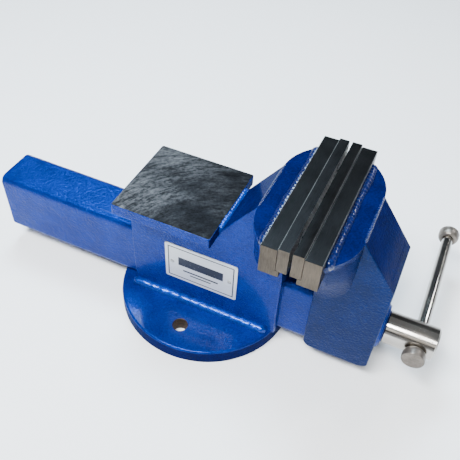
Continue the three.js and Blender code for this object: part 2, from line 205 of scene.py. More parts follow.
def settled(shape, move=(0, 0, 0)):
    """Merges the seam and poles of a shape, turns its faces outwards and moves it."""
    bmesh.ops.remove_doubles(shape, verts=shape.verts[:], dist=1e-6)
    bmesh.ops.recalc_face_normals(shape, faces=shape.faces[:])
    bmesh.ops.translate(shape, verts=shape.verts[:], vec=move)
    return shape


def arc(centre, radius, start, end, steps=6):
    """Points on a round edge: centre is (radius, distance) and angles are in degrees."""
    turns = [math.radians(start + (end - start) * i / steps) for i in range(steps + 1)]
    return [(centre[0] + radius * math.cos(t), centre[1] + radius * math.sin(t)) for t in turns]


carved_finishes = 3


def carve(shape, tool, operation="DIFFERENCE"):
    """Cuts a tool out of a shape, or joins the two. The faces of both keep their finish."""
    parts = []
    for source in (shape, tool):
        mesh = bpy.data.meshes.new("carving")
        source.to_mesh(mesh)
        source.free()
        for _ in range(carved_finishes):
            mesh.materials.append(None)
        parts.append(bpy.data.objects.new("carving", mesh))
        bpy.context.scene.collection.objects.link(parts[-1])
    cut = parts[0].modifiers.new("cut", "BOOLEAN")
    cut.operation = operation
    cut.solver = "EXACT"
    cut.object = parts[1]
    bpy.context.view_layer.update()
    result = bmesh.new()
    result.from_object(parts[0], bpy.context.evaluated_depsgraph_get())
    for part in parts:
        bpy.data.meshes.remove(part.data)
    return result


sharp_angle, smooth_angle = math.radians(25), math.radians(38)


def ease(shape, width, where=lambda edge: True, steps=3):
    """Rounds the sharp edges that where() picks out."""
    sharp = [e for e in shape.edges if e.calc_face_angle(0) > sharp_angle and where(e)]
    bmesh.ops.bevel(shape, geom=sharp, offset=width, offset_type="OFFSET", segments=steps,
                    profile=0.5, affect="EDGES", clamp_overlap=True, material=-1)
    return shape


def build(name, shape, finishes, body, flat=True):
    """Makes a finished piece that stands for the CAD node of its name and rides with its body."""
    mesh = bpy.data.meshes.new(name)
    shape.to_mesh(mesh)
    shape.free()
    mesh.shade_smooth()
    mesh.set_sharp_from_angle(angle=smooth_angle)
    for finish in finishes:
        mesh.materials.append(finish.material)
    made = bpy.data.objects.new(name, mesh)
    bpy.context.scene.collection.objects.link(made)
    if flat:
        level = made.modifiers.new("level faces", "WEIGHTED_NORMAL")
        level.keep_sharp = True
    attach(made, body)
    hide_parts(name)


foot_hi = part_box("base_plate")[1]
foot_radius, foot_top = foot_hi.x, foot_hi.z
foot_rim, foot_burr = 0.0026, 0.0008
foot_profile = [(0, 0), (foot_radius - foot_burr, 0), (foot_radius, foot_burr)]
foot_profile += arc((foot_radius - foot_rim, foot_top - foot_rim), foot_rim, 0, 90)
foot_profile += [(0, foot_top)]
foot = lathe(foot_profile, "z", steps=160)


def marked(shape, number):
    """Gives every face of a shape the piece's finish of that number."""
    for face in shape.faces:
        face.material_index = number
    return shape


def drill(radius, x, y, lip, from_z, to_z):
    """A tool for a hole with an eased mouth at each end. Its walls are bare steel."""
    profile = [(0, from_z - lip), (radius + 2 * lip, from_z - lip), (radius, from_z + lip),
               (radius, to_z - lip), (radius + 2 * lip, to_z + lip), (0, to_z + lip)]
    return marked(lathe(profile, "z", (x, y, 0), 40), 1)


bolt_hole, bolt_hole_y, bolt_hole_lip = 0.007, 0.0615, 0.0007
nut_bolt_hole, nut_bolt_lip, nut_head_hole, nut_head_depth = 0.0063, 0.0003, 0.0093, 0.0082
nut_bolt_x = sum(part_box("nut_bolt")[i].x for i in (0, 1)) / 2
past = 0.001  # how far a cutting tool runs past the surface that it cuts
side_on = 0.3  # a face lies along an axis if its normal leans less than this towards it
for side in (-1, 1):
    foot = carve(foot, drill(bolt_hole, 0, side * bolt_hole_y, bolt_hole_lip, 0, foot_top))
foot = carve(foot, drill(nut_bolt_hole, nut_bolt_x, 0, nut_bolt_lip, 0, foot_top))
foot = carve(foot, drill(nut_head_hole, nut_bolt_x, 0, nut_bolt_lip, -past, nut_head_depth))
# The foot's upright rim takes the darker enamel, a painted shade.
for face in foot.faces:
    if face.material_index == 0 and abs(face.normal.z) < side_on:
        face.material_index = 2
build("base_plate", foot, [enamel, hole_steel, shade_painted_enamel], "base")


# ---- the fixed body ----
# Two 6 mm side plates, with plates between them over the slide tube, behind, in front and on
# the slope up to the jaw. Cut from sheet steel, welded, ground flush and enamelled.
def only(kind, geometry):
    """The vertices, edges or faces among what an operator gives back."""
    return [item for item in geometry if isinstance(item, kind)]


def outlined(points, from_y, to_y):
    """An outline of (x, z) points, extruded along Y."""
    shape = bmesh.new()
    face = shape.faces.new([shape.verts.new((x, from_y, z)) for x, z in points])
    grown = bmesh.ops.extrude_face_region(shape, geom=[face])["geom"]
    bmesh.ops.translate(shape, verts=only(bmesh.types.BMVert, grown), vec=(0, to_y - from_y, 0))
    bmesh.ops.recalc_face_normals(shape, faces=shape.faces[:])
    return shape


hair = 0.00001  # two places closer than this are the same


def at_y(y):
    """Picks the edges that lie wholly in the plane at y."""
    return lambda edge: all(abs(v.co.y - y) < hair for v in edge.verts)


def shown_rim(y):
    """Picks a side plate's outer edges, but not the one under the jaw seat."""
    return lambda edge: at_y(y)(edge) and any(v.co.z < fixed_top - hair for v in edge.verts)


body_half, body_inner = 0.0302, 0.0242
fixed_rear, fixed_front = -0.0673, 0.0857
fixed_bottom, fixed_top = 0.0160, 0.1508
fixed_jaw_x, moving_jaw_x = 0.0995, 0.1013
side_edge = 0.0012
slope_top_u, slope_top_z, slope_bottom_u, slope_bottom_z = 0.0436, 0.171, 0.0768, 0.127
slope_run = (slope_bottom_u - slope_top_u) / (slope_top_z - slope_bottom_z)


def slope_u(z):
    """How far behind the gripping face the slope is at a height."""
    return slope_top_u + (slope_top_z - z) * slope_run


anvil_lo, anvil_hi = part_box("anvil_plate")
weld_gap = 0.0002
slope_foot_x = anvil_hi.x + weld_gap
slope_foot = (slope_foot_x, slope_top_z - (fixed_jaw_x - slope_foot_x - slope_top_u) / slope_run)
slope_head = (fixed_jaw_x - slope_u(fixed_top), fixed_top)
fixed_outline = [
    (fixed_rear, fixed_bottom), (fixed_front, fixed_bottom), (fixed_front, fixed_top), slope_head,
    slope_foot, (slope_foot[0], anvil_lo.z), (fixed_rear, anvil_lo.z),
]
slope_rise, flat_rise = 0.4, 0.95  # how far the normals of a sloping face rise


def paint_shade_upward(shape, up_to=flat_rise, deep=1):
    """Paints the faces that slope upwards, up to a rise of up_to, with the darker finish numbered deep:
    a painted shade.
    """
    for face in shape.faces:
        slopes = slope_rise < face.normal.z < up_to and abs(face.normal.y) < side_on
        face.material_index = deep if slopes else 0
    return shape


# The sloping edges of the side plates take the darker enamel, a painted shade.
for side, name in ((-1, "fixed_side_near"), (1, "fixed_side_far")):
    inner, outer = side * body_inner, side * body_half
    panel = ease(outlined(fixed_outline, inner, outer), side_edge, shown_rim(outer))
    build(name, paint_shade_upward(panel), [enamel, shade_painted_enamel], "base")


def slab(lo, hi):
    """A plain block between two corners, as a start for cutting and easing."""
    shape = bmesh.new()
    bmesh.ops.create_cube(shape, size=1)
    size = [b - a for a, b in zip(lo, hi)]
    bmesh.ops.scale(shape, vec=size, verts=shape.verts[:])
    bmesh.ops.translate(shape, vec=[(a + b) / 2 for a, b in zip(lo, hi)], verts=shape.verts[:])
    return shape


def fill_plate(name, finishes, body):
    """A plate welded in between the sides, so that it reaches both of them."""
    lo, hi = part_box(name)
    plate = slab((lo.x, -body_inner, lo.z), (hi.x, body_inner, hi.z))
    build(name, plate, finishes, body)


for name in ("fixed_guide_plate", "fixed_rear_plate", "fixed_front_plate"):
    fill_plate(name, [enamel, shade_painted_enamel], "base")

plate_thickness = 0.006
slope_drop = plate_thickness * math.hypot(1, slope_run) / slope_run
slope_back = plate_thickness * math.hypot(1, slope_run)
fixed_slope = [
    slope_head, slope_foot, (slope_foot[0], slope_foot[1] - slope_drop),
    (slope_head[0] + slope_back, slope_head[1]),
]
# The whole slope plate takes the darker enamel, a painted shade.
slope_plate = outlined(fixed_slope, -body_inner, body_inner)
build("fixed_slope_plate", slope_plate, [shade_painted_enamel], "base")


# ---- the anvil ----
# A thick steel plate welded over the body. Its top is fly-cut after welding, which leaves fine
# arcs on bare steel, and its sides are enamelled.
fly_cut = Finish("fly_cut_steel", metallic=0.85, roughness=0.4, specular_ior_level=0.1)
cutter_x, cutter_y = 0.05, -0.085
from_x, from_y = fly_cut.along("X") - cutter_x, fly_cut.along("Y") - cutter_y
reach = fly_cut.maths("SQRT", from_x * from_x + from_y * from_y)
swing = fly_cut.maths("ARCTAN2", from_y, from_x)


def cutter_marks(per_metre, per_radian, detail):
    """Noise drawn out along the arcs that the cutter leaves."""
    around = {0: reach * per_metre, 1: swing * per_radian}
    return fly_cut.noise(1, detail, fly_cut.node("ShaderNodeCombineXYZ", None, around), 0.6)


fine, broad, short = cutter_marks(900, 9, 3), cutter_marks(170, 5, 4), cutter_marks(420, 34, 2)
sheen_patch_scale, mark_depth = 22, 0.0003
# The top's steel is painted lighter towards the rear and the far side, a painted reflection, broken up
# by random patches.
painted_sheen_rearward, painted_sheen_sideways, sheen_patches = -5.0, 2.0, 1.3
patches = fly_cut.noise(sheen_patch_scale, 4) * sheen_patches
painted_sheen_share = fly_cut.along("X") * painted_sheen_rearward + fly_cut.along("Y") * painted_sheen_sideways + patches
painted_sheen = fly_cut.spread(painted_sheen_share, 0.45, 1.15)
marks = fly_cut.spread(fine * 0.35 + broad * 0.45 + short * 0.35, 0.44, 0.78)
sheen_steel = fly_cut.blend(marks, (0.007, 0.007, 0.0075, 1), (0.092, 0.09, 0.092, 1))
darker_steel = fly_cut.blend(marks, (0.002, 0.002, 0.0025, 1), (0.009, 0.0098, 0.011, 1))
fly_cut.surface(base_color=fly_cut.blend(painted_sheen, darker_steel, sheen_steel))
fly_cut.surface(roughness=0.5 - marks * 0.14)
fly_cut.surface(normal=fly_cut.relief(fine * 0.5 + short * 0.5, mark_depth))


def round_corners(shape, axis, radius, steps):
    """Rounds the edges of a slab that run along one axis: 0, 1 or 2."""
    lines = [e for e in shape.edges if abs(e.verts[0].co[axis] - e.verts[1].co[axis]) > hair]
    bmesh.ops.bevel(shape, geom=lines, offset=radius, offset_type="OFFSET", segments=steps,
                    profile=0.5, affect="EDGES", clamp_overlap=True, material=-1)
    return shape


anvil_corner, anvil_edge, anvil_flat, anvil_end = 0.002, 0.0005, 0.99, 0.5
anvil = ease(round_corners(slab(anvil_lo, anvil_hi), 2, anvil_corner, 6), anvil_edge)
# The anvil's front end takes the darker enamel, a painted shade.
for face in anvil.faces:
    if face.normal.z > anvil_flat:
        face.material_index = 1
    elif face.normal.x > anvil_end:
        face.material_index = 2
build("anvil_plate", anvil, [enamel, fly_cut, shade_painted_enamel], "base")


# ---- the jaw seats ----
# A D-shaped steel block behind each jaw, whose wings sweep down into the side plates. It is
# built up with weld, ground round and enamelled. All is drawn behind a gripping face at zero.
seat_front, seat_rear, seat_bottom, seat_top = 0.0236, 0.0436, 0.151, 0.171
seat_lip, seat_radius, seat_turn_y, seat_rim = 0.005, 0.050, 0.0275, 0.0016
body_setback, brow_overlap = 0.0138, 0.0005
flare_bottom, flare_power, flare_levels = 0.092, 1.7, 16
moving_enamel = hammered_enamel("moving_enamel", (0.0009, 0.005, 0.034, 1), (0.0026, 0.012, 0.08, 1),
                                sheen=0.3, gloss=0.1, glow=0.12)


def seat_wing(side):
    """One wing: its outline is spun, then raised in levels and drawn in towards the body."""
    wing = bmesh.new()
    turn = math.acos((seat_front - seat_rear + seat_radius) / seat_radius)
    centre = (seat_rear - seat_radius, seat_turn_y, flare_bottom)
    corner = wing.verts.new((seat_rear, seat_turn_y, flare_bottom))
    bmesh.ops.spin(wing, geom=[corner], cent=centre, axis=(0, 0, 1), angle=turn, steps=24)
    inside = wing.verts.new((seat_front, seat_turn_y, flare_bottom))
    wing.verts.ensure_lookup_table()
    rim = [v for v in wing.verts if v is not inside]
    layer = [wing.faces.new(rim + [inside])]
    widest = seat_radius * math.sin(turn)
    kept = body_half - seat_turn_y

    def share(rise):
        return (kept + (widest - kept) * rise ** flare_power) / widest

    squeeze = Matrix.Translation((0, -seat_turn_y, 0))
    bmesh.ops.scale(wing, vec=(1, share(0), 1), space=squeeze, verts=wing.verts[:])
    lip_bottom = seat_top - seat_lip
    levels = [i / flare_levels for i in range(1, flare_levels + 1)] + [None]
    z, last = flare_bottom, share(0)
    for rise in levels:
        grown = bmesh.ops.extrude_face_region(wing, geom=layer)["geom"]
        corners = only(bmesh.types.BMVert, grown)
        if rise != levels[0]:
            bmesh.ops.delete(wing, geom=layer, context="FACES_ONLY")
        layer = only(bmesh.types.BMFace, grown)
        next_z = seat_top if rise is None else flare_bottom + (lip_bottom - flare_bottom) * rise
        next_share = 1 if rise is None else share(rise)
        bmesh.ops.translate(wing, vec=(0, 0, next_z - z), verts=corners)
        bmesh.ops.scale(wing, vec=(1, next_share / last, 1), space=squeeze, verts=corners)
        z, last = next_z, next_share
    bmesh.ops.scale(wing, vec=(1, side, 1), verts=wing.verts[:])
    return settled(wing)


def placed(shape, direction, jaw_x):
    """Puts a shape drawn behind a gripping face at the jaw: direction is 1 or -1 along X."""
    bmesh.ops.scale(shape, vec=(direction, 1, 1), verts=shape.verts[:])
    return settled(shape, (jaw_x, 0, 0))


def wing_brow(side):
    """The wing carries on under the jaw block, to the side plate's edge."""
    lip_bottom, brow_top = seat_top - seat_lip, seat_bottom - weld_gap
    widest = seat_turn_y + math.sqrt(seat_radius ** 2 - (seat_front - seat_rear + seat_radius) ** 2)
    outline = [(body_half, brow_top), (body_half, flare_bottom)]
    for level in range(1, flare_levels + 1):
        z = flare_bottom + (brow_top - flare_bottom) * level / flare_levels
        rise = (z - flare_bottom) / (lip_bottom - flare_bottom)
        outline.append((body_half + (widest - body_half) * rise ** flare_power, z))
    brow = bmesh.new()
    face = brow.faces.new([brow.verts.new((body_setback, y, z)) for y, z in outline])
    grown = bmesh.ops.extrude_face_region(brow, geom=[face])["geom"]
    bmesh.ops.translate(brow, verts=only(bmesh.types.BMVert, grown),
                        vec=(seat_front + brow_overlap - body_setback, 0, 0))
    bmesh.ops.scale(brow, vec=(1, side, 1), verts=brow.verts[:])
    return settled(brow)


def slope_edge(edge):
    """Picks the two edges that run down the sloping back, between the wings."""
    one, other = (v.co for v in edge.verts)
    down = abs(one.y - other.y) < hair and abs(one.z - other.z) > seat_lip
    return down and min(one.x, other.x) > seat_rear - hair


def seat_outer_rim(edge):
    """Picks the edges round the top, but not the one along the jaw block."""
    high = all(v.co.z > seat_top - hair for v in edge.verts)
    return high and max(v.co.x for v in edge.verts) > seat_front + 10 * hair


jaws = (("fixed", "base", -1, fixed_jaw_x), ("moving", "slide", 1, moving_jaw_x))
seat_paints = {"fixed": [enamel, shade_painted_enamel], "moving": [moving_enamel, shade_painted_enamel]}
seat_outline = [(seat_front, seat_bottom), (slope_u(seat_bottom), seat_bottom),
                (seat_rear, seat_top), (seat_front, seat_top)]
for jaw, body, direction, jaw_x in jaws:
    seat = ease(outlined(seat_outline, -body_half, body_half), side_edge, slope_edge)
    for joined in (seat_wing, wing_brow):
        for side in (-1, 1):
            seat = carve(seat, joined(side), "UNION")
    bmesh.ops.remove_doubles(seat, verts=seat.verts[:], dist=hair)
    ease(seat, seat_rim, seat_outer_rim)
    # The seat's top and sloping back take the darker enamel, a painted shade.
    paint_shade_upward(seat, math.inf)
    build(f"{jaw}_jaw_seat", placed(seat, direction, jaw_x), seat_paints[jaw], body)


# ---- the jaw blocks and face plates ----
# Steel bars with dark rolled tops and ground ends. The hardened face plate is cut with a
# diamond pattern, and two countersunk screws hold it to the block.
grain_scale, smudge_scale, grain_depth = 260, 34, 0.00012


def rolled_steel(name, dark, pale, grain):
    """Steel with fine marks, which run the way that grain is smallest."""
    steel = Finish(name, metallic=0.8, roughness=0.4, specular_ior_level=0.1)
    marks = steel.noise(grain_scale, 5, steel.stretched(grain), 0.65)
    smudges = steel.noise(smudge_scale, 3)
    shade = steel.spread(marks * 0.7 + smudges * 0.5, 0.38, 0.82)
    steel.surface(base_color=steel.blend(shade, dark, pale))
    steel.surface(roughness=steel.spread(marks, 0.3, 0.8) * 0.2 + 0.3)
    steel.surface(normal=steel.relief(marks, grain_depth))
    return steel


# Four finishes of the same steel: top, end, gripping face and edge; the edge one is painted light, a
# painted highlight.
jaw_steels = [
    rolled_steel("jaw_top_steel", (0.004, 0.0043, 0.0046, 1), (0.0125, 0.013, 0.0138, 1), (9, 0.5, 9)),
    rolled_steel("jaw_end_steel", (0.03, 0.024, 0.018, 1), (0.1, 0.081, 0.062, 1), (9, 9, 0.7)),
    rolled_steel("jaw_face_steel", (0.1, 0.098, 0.09, 1), (0.24, 0.235, 0.22, 1), (6, 6, 1)),
    rolled_steel("jaw_edge_highlight_steel", (0.05, 0.052, 0.052, 1), (0.17, 0.175, 0.17, 1), (3, 3, 3)),
]

jaw_half = 0.075
block_front, block_back, block_bottom, block_top = 0.0096, 0.0234, 0.151, 0.1795
ledge_front, ledge_top = 0.0065, 0.1572
face_thickness, face_bottom, face_top = 0.0094, 0.1574, 0.1814
screw_y, screw_z = 0.045, 0.169
screw_shank, screw_head, screw_sunk, screw_head_depth = 0.004, 0.008, 0.0003, 0.0044
screw_length, screw_gap, screw_steps = 0.019, 0.0003, 32
block_edge, plate_edge, edge_steps = 0.0005, 0.0004, 2
long_edge, highlight_from = 0.01, 0.0006
end_lean, face_lean, square_on = 0.5, 0.4, 0.98  # how far the normals of those faces lean


def jaw_finishes(shape, edges_from=0.0, grips=False):
    """Dark top and back, ground ends, edges painted light as a highlight, and the gripping face where
    there is one.
    """
    for face in shape.faces:
        normal = face.normal
        if face.material_index == 2:
            continue
        face.material_index = 1 if abs(normal.y) > end_lean else 0
        slants = max(abs(c) for c in normal) < square_on and abs(normal.y) < side_on
        if grips and normal.x < -face_lean:
            face.material_index = 2
        elif slants and face.calc_center_median().x > edges_from:
            face.material_index = 3


def countersink(y):
    """The tool for one screw's hole, through the face plate."""
    head, shank = screw_head + screw_gap, screw_shank + screw_gap
    end = screw_length + past
    profile = [(0, -past), (head, -past), (head, screw_sunk), (shank, screw_head_depth),
               (shank, end), (0, end)]
    return marked(lathe(profile, "x", (0, y, screw_z), screw_steps), 2)


def slice_off(shape, point, normal, dist=1e-6):
    """Cuts away what lies past a plane, and gives back what lies on it."""
    everything = shape.verts[:] + shape.edges[:] + shape.faces[:]
    return bmesh.ops.bisect_plane(shape, geom=everything, plane_co=point, plane_no=normal,
                                  clear_outer=True, dist=dist)["geom_cut"]


def diamond_face():
    """A face plate whose front is cut with crossed grooves, and whose edges fall away."""
    pitch, depth, margin, shoulder, spare = 0.0032, 0.0007, 0.0009, 0.0005, 2.2
    grid = bmesh.new()
    count = int(spare * jaw_half / pitch)
    bmesh.ops.create_grid(grid, x_segments=count, y_segments=count, size=count * pitch / 2)
    bmesh.ops.poke(grid, faces=grid.faces[:], offset=depth)
    middle_z = (face_top + face_bottom) / 2
    half_z = (face_top - face_bottom) / 2
    for angle, axis in ((45, "Z"), (-90, "Y")):
        turn = Matrix.Rotation(math.radians(angle), 3, axis)
        bmesh.ops.rotate(grid, cent=(0, 0, 0), matrix=turn, verts=grid.verts[:])
    bmesh.ops.translate(grid, vec=(depth, 0, middle_z), verts=grid.verts[:])
    cuts = [((0, s, 0), (0, s * (jaw_half - margin), 0)) for s in (-1, 1)]
    cuts += [((0, 0, s), (0, 0, middle_z + s * (half_z - margin))) for s in (-1, 1)]
    for normal, point in cuts:
        slice_off(grid, point, normal)
    bmesh.ops.remove_doubles(grid, verts=grid.verts[:], dist=hair)
    rim = [e for e in grid.edges if e.is_boundary]
    grow = (jaw_half / (jaw_half - margin), half_z / (half_z - margin))
    for reach, scale in ((shoulder, grow), (face_thickness, (1, 1))):
        grown = bmesh.ops.extrude_edge_only(grid, edges=rim)["geom"]
        corners = only(bmesh.types.BMVert, grown)
        rim = only(bmesh.types.BMEdge, grown)
        bmesh.ops.scale(grid, vec=(0, scale[0], scale[1]), verts=corners,
                        space=Matrix.Translation((0, 0, -middle_z)))
        bmesh.ops.translate(grid, vec=(reach, 0, 0), verts=corners)
    bmesh.ops.contextual_create(grid, geom=rim)
    return settled(grid)


def hex_socket(centre, axis, radius, depth):
    """The tool for a hexagon socket along X or Z, half of it in front of the centre."""
    tool = bmesh.new()
    turn = Matrix.Rotation(math.radians(90 if axis == "x" else 0), 4, "Y")
    bmesh.ops.create_cone(tool, cap_ends=True, segments=6, radius1=radius, radius2=radius,
                          depth=depth, matrix=Matrix.Translation(centre) @ turn)
    return tool


screw_rim, socket_radius, socket_length, socket_x = 0.0004, 0.0029, 0.006, 0.0005
drilled_mouth, drilled_floor, drilled_depth, drilled_tip = 0.0023, 0.0021, 0.0028, 0.0032
screw_profile = [
    (drilled_mouth, screw_sunk), (screw_head - screw_rim, screw_sunk),
    (screw_head, screw_sunk + screw_rim), (screw_shank, screw_head_depth),
    (screw_shank, screw_length - screw_rim), (screw_shank - screw_rim, screw_length),
    (0, screw_length), (0, drilled_tip), (drilled_floor, drilled_depth), (drilled_mouth, screw_sunk),
]


def plain_hole(radius, start, end):
    """The profile of the tool for a plain round hole."""
    return [(0, start), (radius, start), (radius, end), (0, end)]


screw_hole = plain_hole(screw_shank + screw_gap, 0, screw_length + screw_gap)
block_outline = [
    (ledge_front, block_bottom), (block_back, block_bottom), (block_back, block_top),
    (block_front, block_top), (block_front, ledge_top), (ledge_front, ledge_top),
]
black_oxide = rolled_steel("black_oxide", (0.012, 0.012, 0.013, 1), (0.035, 0.035, 0.037, 1), (3, 3, 3))

for jaw, body, direction, jaw_x in jaws:
    block = outlined(block_outline, -jaw_half, jaw_half)
    for side in (-1, 1):
        block = carve(block, lathe(screw_hole, "x", (0, side * screw_y, screw_z), screw_steps))
    ease(block, block_edge, lambda e: e.calc_length() > long_edge, edge_steps)
    jaw_finishes(block)
    build(f"{jaw}_jaw_block", placed(block, direction, jaw_x), jaw_steels, body)

    plate = diamond_face()
    for side in (-1, 1):
        plate = carve(plate, countersink(side * screw_y))
    ease(plate, plate_edge, lambda e: min(v.co.x for v in e.verts) > face_thickness - hair, edge_steps)
    jaw_finishes(plate, face_thickness - highlight_from, grips=True)
    plate = placed(plate, direction, jaw_x)
    build(f"{jaw}_jaw_plate", plate, jaw_steels, body, flat=False)

    for side, word in ((-1, "near"), (1, "far")):
        y = side * screw_y
        socket = hex_socket((socket_x, y, screw_z), "x", socket_radius, socket_length)
        screw = carve(lathe(screw_profile, "x", (0, y, screw_z), screw_steps), socket)
        screw = placed(screw, direction, jaw_x)
        build(f"{jaw}_jaw_screw_{word}", screw, [black_oxide], body)


# ---- the nameplate ----
# A thin printed metal plate on the near side, with a border line and plain bars on it. Two
# small domed rivets hold it.
label_lo, label_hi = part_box("nameplate")
label_mid = (label_lo + label_hi) / 2
label_half = (label_hi - label_lo) / 2
printed = Finish("printed_metal", metallic=0.35, roughness=0.3)
across = abs(printed.along("X") - label_mid.x)
above = printed.along("Z") - label_mid.z


def printed_box(half_x, half_z, centre_z=0.0):
    """1 inside a box about the plate's middle, 0 outside."""
    return (across < half_x) * (abs(above - centre_z) < half_z)


border_in, border_line = 0.003, 0.0012
line_in = border_in + border_line
title_bar, long_line = (0.0235, 0.0055, 0.003), (0.0185, 0.001, -0.0085)
short_line = (0.011, 0.0008, -0.0125)
border = printed_box(label_half.x - border_in, label_half.z - border_in)
border = border - printed_box(label_half.x - line_in, label_half.z - line_in)
bars = printed_box(*title_bar) + printed_box(*long_line) + printed_box(*short_line)
wear = printed.spread(printed.noise(500, 4), 0.08, 0.36)
dull_metal, bright_metal = (0.42, 0.435, 0.46, 1), (0.58, 0.6, 0.625, 1)
printed_ink = (0.012, 0.014, 0.022, 1)
brushed = printed.noise(420, 3, printed.stretched((0.3, 3, 3)))
metal = printed.blend(brushed, dull_metal, bright_metal)
printed.surface(base_color=printed.blend((border + bars) * wear, metal, printed_ink))
printed.surface(roughness=brushed * 0.15 + 0.25)
buckle_scale, buckle_depth = 90, 0.0003
printed.surface(normal=printed.relief(printed.noise(buckle_scale, 2), buckle_depth))

label_corner, label_edge = 0.002, 0.0002
label = slab((label_lo.x, label_lo.y, label_lo.z), (label_hi.x, -body_half, label_hi.z))
ease(round_corners(label, 1, label_corner, 5), label_edge, at_y(label_lo.y), 2)
build("nameplate", label, [printed], "base")

rivet_steel = rolled_steel("rivet_steel", (0.2, 0.2, 0.2, 1), (0.5, 0.5, 0.48, 1), (2, 2, 2))
for name in ("nameplate_rivet_rear", "nameplate_rivet_front"):
    lo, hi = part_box(name)
    radius, height = (hi.x - lo.x) / 2, hi.y - lo.y
    rises = [math.radians(a) for a in range(0, 90, 15)]
    dome = [(0, 0)] + [(radius * math.cos(a), -height * math.sin(a)) for a in rises] + [(0, -height)]
    rivet = lathe(dome, "y", ((lo.x + hi.x) / 2, hi.y, (lo.z + hi.z) / 2), 24)
    build(name, rivet, [rivet_steel], "base", flat=False)


# ---- the slide tube ----
# A drawn rectangular tube, open behind, with a slot underneath for the nut's post. It is
# enamelled outside and bare within.
tube_lo, tube_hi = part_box("slide_tube")
tube_corner, tube_wall, tube_edge = 0.008, 0.005, 0.0007
slot_rear, slot_front, slot_half = -0.117, 0.067, 0.011
tube_in = Vector((-past, tube_wall, tube_wall))
hollow = round_corners(slab(tube_lo + tube_in, tube_hi - tube_in), 0, tube_corner - tube_wall, 5)
slot = slab((slot_rear, -slot_half, tube_lo.z - past),
            (slot_front, slot_half, tube_lo.z + tube_wall + past))
tube = round_corners(slab(tube_lo, tube_hi), 0, tube_corner, 10)
tube = carve(carve(tube, marked(hollow, 1)), marked(slot, 1))
ease(tube, tube_edge, lambda e: all(abs(v.co.x - tube_lo.x) < hair for v in e.verts), 2)
build("slide_tube", tube, [enamel, hole_steel], "slide")


# ---- the moving body ----
# Side plates like the fixed body's, with a rounded heel and an eased toe, and plates between
# them behind, on the slope and in front, all welded to the slide tube.
moving_bottom, heel, toe, toe_rise = 0.0174, 0.008, 0.014, 0.006
corner_steps = 8


def toe_point(share):
    """A point on the eased lower front corner."""
    return (slope_bottom_u - toe * (1 - share) ** 2, moving_bottom + toe_rise * share ** 2)


moving_outline = [(body_setback, fixed_top)]
moving_outline += arc((body_setback + heel, moving_bottom + heel), heel, 180, 270, corner_steps)
moving_outline += [toe_point(i / corner_steps) for i in range(corner_steps + 1)]
moving_outline += [(slope_bottom_u, slope_bottom_z), (slope_u(fixed_top), fixed_top)]
moving_outline = [(moving_jaw_x + u, z) for u, z in moving_outline]
# The sloping edges of the side plates take the darker enamel, a painted shade.
for side, name in ((-1, "moving_side_near"), (1, "moving_side_far")):
    inner, outer = side * body_inner, side * body_half
    panel = ease(outlined(moving_outline, inner, outer), side_edge, shown_rim(outer))
    build(name, paint_shade_upward(panel), [moving_enamel, shade_painted_enamel], "slide")

fill_plate("moving_rear_plate", [moving_enamel, shade_painted_enamel], "slide")
front_x = moving_jaw_x + slope_bottom_u
front_inner = front_x - plate_thickness
front_meets_slope = slope_bottom_z + plate_thickness / slope_run
slope_head_x = moving_jaw_x + slope_u(fixed_top)
moving_slope = [
    (slope_head_x, fixed_top), (front_inner, front_meets_slope),
    (front_inner, front_meets_slope - slope_drop), (slope_head_x - slope_back, fixed_top),
]
# The slope plate's sloping faces take the darker enamel, a painted shade.
slope_plate = paint_shade_upward(outlined(moving_slope, -body_inner, body_inner))
build("moving_slope_plate", slope_plate, [moving_enamel, shade_painted_enamel], "slide")

spindle_z, spindle_bore, toe_inner_rise = 0.0507, 0.0123, 0.0007


def bore(from_x, to_x):
    """The tool for a hole that the spindle runs through."""
    return lathe(plain_hole(spindle_bore, from_x - past, to_x + past), "x", (0, 0, spindle_z), 48)


closing = [(front_inner, moving_bottom + toe_inner_rise), (front_x, moving_bottom + toe_rise),
           (front_x, slope_bottom_z), (front_inner, front_meets_slope)]
# The plate's sloping faces take the darker enamel, a painted shade.
closing_plate = paint_shade_upward(outlined(closing, -body_inner, body_inner), deep=2)
closing_plate = carve(closing_plate, marked(bore(front_inner, front_x), 1))
closing_paints = [moving_enamel, hole_steel, shade_painted_enamel]
build("moving_front_plate", closing_plate, closing_paints, "slide")

boss_lo, boss_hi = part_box("spindle_boss")
boss_radius, boss_edge, boss_bore_edge = boss_hi.y, 0.0012, 0.0004
boss = [(spindle_bore, front_x), (boss_radius, front_x)]
boss += [(r, x) for x, r in arc((boss_hi.x - boss_edge, boss_radius - boss_edge), boss_edge, 90, 0, 4)]
boss += [(spindle_bore + boss_bore_edge, boss_hi.x), (spindle_bore, boss_hi.x - boss_bore_edge)]
boss += [(spindle_bore, front_x)]
build("spindle_boss", lathe(boss, "x", (0, 0, spindle_z), 64), [enamel], "slide")


# ---- the welds ----
# Hand-run steel beads under the enamel, which fills their ripples. They lie in the corners
# where plates meet.
dice = random.Random(7)
# The beads' enamel is a lighter copy of the body's, a painted highlight.
highlighted_bead_paint = hammered_enamel("highlighted_bead_enamel", (0.002, 0.018, 0.16, 1), (0.005, 0.045, 0.32, 1),
                             sheen=0.55, gloss=0.4)
# A darker copy for the welds on the jaw seats, a painted shade.
shade_painted_bead_paint = hammered_enamel("shade_painted_bead_enamel", (0.0006, 0.003, 0.03, 1), (0.002, 0.009, 0.09, 1),
                                  sheen=0.2, gloss=0.9)
ripple_steps, ripple_height, bead_drift, kept_swell = 4, 0.07, 0.03, 0.9


